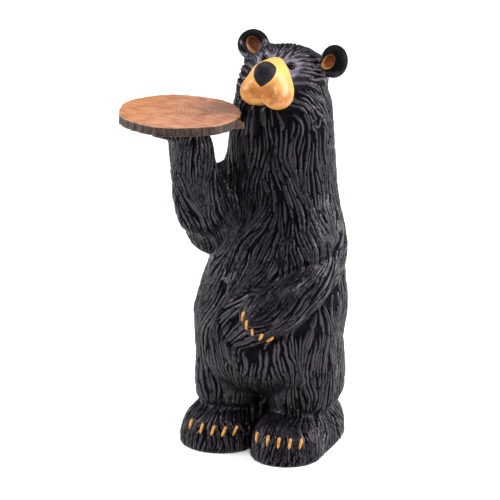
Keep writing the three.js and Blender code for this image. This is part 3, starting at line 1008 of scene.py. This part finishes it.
def tray_points():
    """Rings of points from the middle of the top to the middle of the underside, and the number of rings."""
    angle = np.linspace(0, 2 * math.pi, TRAY_TURNS, endpoint=False)
    outline = TRAY_RADIUS + TRAY_WAVINESS * (np.sin(3 * angle + 1) + 0.6 * np.sin(7 * angle))
    outline += 0.45 * MM * np.sin(23 * angle + 2 * np.sin(3 * angle)) + 0.3 * MM * np.sin(41 * angle)
    turned = (np.degrees(angle) + 180) % 360 - 180
    outline -= 5.0 * MM * np.exp(-(((turned - 13) / 24) ** 2))
    stub = 9.5 * MM * np.exp(-(((turned + 6) / 4.2) ** 2))
    rows = []
    for i in range(1, TOP_RINGS + 1):
        rows.append((outline - TRAY_CHAMFER) * (i / TOP_RINGS) ** 0.93)
    heights = [0.0] * TOP_RINGS
    grooves = np.abs(np.sin(37 * angle + 3 * np.sin(5 * angle))) ** 0.6 * 0.45 + np.abs(np.sin(83 * angle)) * 0.3
    for i in range(WALL_RINGS):
        share = i / (WALL_RINGS - 1)
        held = math.sin(math.pi * min(share, 0.999)) ** 0.5
        rows.append(outline - 1.3 * MM * (1 - grooves) * held + stub * min(1.0, max(0.0, share - 0.1) * 4))
        heights.append(-TRAY_CHAMFER - share * (TRAY_THICKNESS - 2 * TRAY_CHAMFER))
    for i in range(UNDER_RINGS):
        rows.append((outline + stub * 0.7 - TRAY_CHAMFER) * (1 - i / UNDER_RINGS))
        heights.append(-TRAY_THICKNESS)
    places = []
    for row, height in zip(rows, heights):
        places.append(np.stack([row * np.cos(angle), row * np.sin(angle), np.full(TRAY_TURNS, height)], axis=1))
    return np.concatenate(places), len(rows)


def tray_mesh():
    ringed, rows = tray_points()
    x, y = ringed[:, 0], ringed[:, 1]
    flat = ringed[:, 2] == 0
    knot = np.hypot(x - KNOT[0], y - KNOT[1])
    wander = 1.8 * MM * waves(ringed, 34 * MM, 11) + 0.5 * MM * waves(ringed, 11 * MM, 12)
    rings = np.abs(np.sin(math.pi * (knot + wander) / RING_SPACING)) ** 0.5
    small_knot = np.hypot(x - SMALL_KNOT[0], y - SMALL_KNOT[1])
    near_knot = smooth_step(13 * MM, 5 * MM, small_knot)
    rings = rings * (1 - near_knot) + np.abs(np.sin(math.pi * small_knot / (3.4 * MM))) ** 0.5 * near_knot
    rings = 1 - (1 - rings) * (0.35 + 0.65 * smooth_step(90 * MM, 35 * MM, np.minimum(knot, 4 * small_knot)))
    ringed[flat, 2] -= (0.5 * MM * (1 - rings))[flat]
    top = len(ringed)
    ends = np.array([[0, 0, -0.1 * MM], [0, 0, -TRAY_THICKNESS]])
    whole = np.concatenate([ringed, ends])
    faces = []
    turns = range(TRAY_TURNS)
    for row in range(rows - 1):
        low, high = row * TRAY_TURNS, (row + 1) * TRAY_TURNS
        faces += [(low + k, high + k, high + (k + 1) % TRAY_TURNS, low + (k + 1) % TRAY_TURNS) for k in turns]
    last = (rows - 1) * TRAY_TURNS
    faces += [(top, k, (k + 1) % TRAY_TURNS) for k in turns]
    faces += [(top + 1, last + (k + 1) % TRAY_TURNS, last + k) for k in turns]
    mesh = bpy.data.meshes.new("log_slice_tray")
    mesh.from_pydata((whole @ TRAY_AXES.T + TRAY_MIDDLE).tolist(), [], faces)
    mesh.shade_smooth()
    store(mesh, "slice", whole / MM)
    store(mesh, "ring", np.concatenate([rings, [1.0, 1.0]]))
    store(mesh, "rim_gap", (TRAY_RADIUS - np.hypot(whole[:, 0], whole[:, 1])) / MM)
    return mesh


tray = link_object("log_slice_tray", tray_mesh())
print("tray:", len(tray.data.vertices), "points")

# %% [markdown]
# ## Painted log
# The face is red-brown acrylic over the cast rings, thinned so that they show darker, with a dull stain and
# a few dark cracks. The bark is dry-brushed grey-brown. Acrylic paint is matt, with an IOR of about 1.5, and the
# clear coat here is thinner than on the bear.

# %% Painted log
def painted_log():
    material, tree = new_material("painted_log_slice")
    place = point_value(tree, "slice", "Vector")
    parts = node(tree, "ShaderNodeSeparateXYZ", {"Vector": place})
    across, height = out(parts, "X"), out(parts, "Z")
    face = mixed(tree, between(tree, noise(tree, place, 0.05, 4.0), 0.35, 0.7), "#c48a69", "#a3694a")
    face = mixed(tree, between(tree, across, 10.0, -55.0, 0.0, 0.6), face, "#c07840")
    stain = node(tree, "ShaderNodeVectorMath", {0: place, 1: (44, 30, 0)}, operation="DISTANCE")
    stain = math_node(tree, "MULTIPLY_ADD", noise(tree, place, 0.03, 3.0), 26.0, out(stain, "Value"))
    face = mixed(tree, between(tree, stain, 54.0, 24.0, 0.0, 0.6), face, "#54423a")
    fine = noise(tree, scaled(tree, place, (0.3, 2.4, 1)), 0.16, 4.0)
    face = mixed(tree, between(tree, fine, 0.46, 0.68, 0.0, 0.65), face, "#6f3a20")
    cracks = noise(tree, scaled(tree, place, (0.45, 2.6, 1)), 0.11, 2.0)
    face = mixed(tree, between(tree, cracks, 0.64, 0.7, 0.0, 0.8), face, "#3a2016")
    rings = math_node(tree, "MULTIPLY", between(tree, point_value(tree, "ring"), 0.75, 0.15), 0.75)
    face = mixed(tree, rings, face, "#4a261a")
    streaks = noise(tree, scaled(tree, place, (1, 1, 0.16)), 0.75, 4.0)
    bark = mixed(tree, between(tree, streaks, 0.35, 0.68), "#1c120d", "#503d31")
    on_wall = between(tree, height, -0.5, -1.1)
    skin = mixed(tree, on_wall, face, bark)
    lip = math_node(tree, "MULTIPLY", between(tree, height, -0.25, -0.6), between(tree, height, -1.5, -0.9))
    skin = mixed(tree, math_node(tree, "MULTIPLY", lip, 0.5), skin, "#b08f74")
    stub_share = between(tree, point_value(tree, "rim_gap"), 1.0, -1.5)
    stub_share = math_node(tree, "MULTIPLY", stub_share, between(tree, across, 60.0, 68.0))
    skin = mixed(tree, stub_share, skin, "#54382a")
    bump_height = math_node(tree, "MULTIPLY_ADD", streaks, 0.6, math_node(tree, "MULTIPLY", fine, 0.4))
    bump = node(tree, "ShaderNodeBump", {"Strength": 0.5, "Distance": 0.5 * MM, "Height": bump_height})
    inputs = {
        "Base Color": skin,
        "Roughness": between(tree, fine, 0.3, 0.7, 0.42, 0.62),
        "Normal": out(bump),
        "IOR": 1.5,
        "Specular IOR Level": math_node(tree, "MULTIPLY_ADD", on_wall, -0.25, 0.5),
        "Coat Weight": 0.1,
        "Coat Roughness": 0.3,
    }
    close_material(tree, inputs)
    return material

tray.data.materials.append(painted_log())
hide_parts("tray")
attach(tray, "root")
print("tray material:", tray.data.materials[0].name)

# %% [markdown]
# ## Floor and light
# The photograph has a white floor and soft light from all round, with the brightest sheets to the left and
# right. A pale matt floor, a white surround and four large soft lights give the same long highlights on the
# dark coat.

# %% Floor
floor_mesh = bpy.data.meshes.new("floor")
floor_mesh.from_pydata([(-4, -4, 0), (4, -4, 0), (4, 4, 0), (-4, 4, 0)], [], [(0, 1, 2, 3)])
floor = link_object("floor", floor_mesh)
floor_material, floor_tree = new_material("pale_matt_floor")
across = node(floor_tree, "ShaderNodeVectorMath", {0: stretched(floor_tree, (1, 1, 1))}, operation="LENGTH")
glow = between(floor_tree, out(across, "Value"), 0.7, 2.2, 0.25, 0.8)
paper = {"Base Color": colour("#f6f5f4"), "Roughness": 0.9, "Emission Color": colour("#ffffff")}
close_material(floor_tree, {**paper, "Emission Strength": glow})
floor_mesh.materials.append(floor_material)
print("floor of", round(floor.dimensions.x, 1), "m")

# %% Light
bpy.context.scene.view_settings.view_transform = "Standard"
world = bpy.data.worlds.new("white_surround")
bpy.context.scene.world = world
world.use_nodes = True
world.node_tree.nodes["Background"].inputs["Color"].default_value = (1, 1, 1, 1)
world.node_tree.nodes["Background"].inputs["Strength"].default_value = 0.2


def soft_light(name, azimuth, elevation, distance, width, height, watts):
    lamp = bpy.data.lights.new(name, "AREA")
    lamp.shape = "RECTANGLE"
    lamp.size, lamp.size_y = width, height
    lamp.energy = watts
    held = bpy.data.objects.new(name, lamp)
    bpy.context.collection.objects.link(held)
    towards = away(math.radians(azimuth), math.radians(elevation))
    held.location = Vector((0, 0, 0.25)) + towards * distance
    held.rotation_euler = towards.to_track_quat("Z", "Y").to_euler()
    return held


lights = [
    soft_light("left_sheet", -75, 25, 1.5, 0.9, 1.2, 24),
    soft_light("right_sheet", 105, 25, 1.5, 0.9, 1.2, 32),
    soft_light("front_fill", 32, 42, 2.2, 0.6, 0.6, 16),
    soft_light("top_sheet", 190, 75, 1.7, 1.2, 1.2, 20),
]
print("lights:", len(lights))
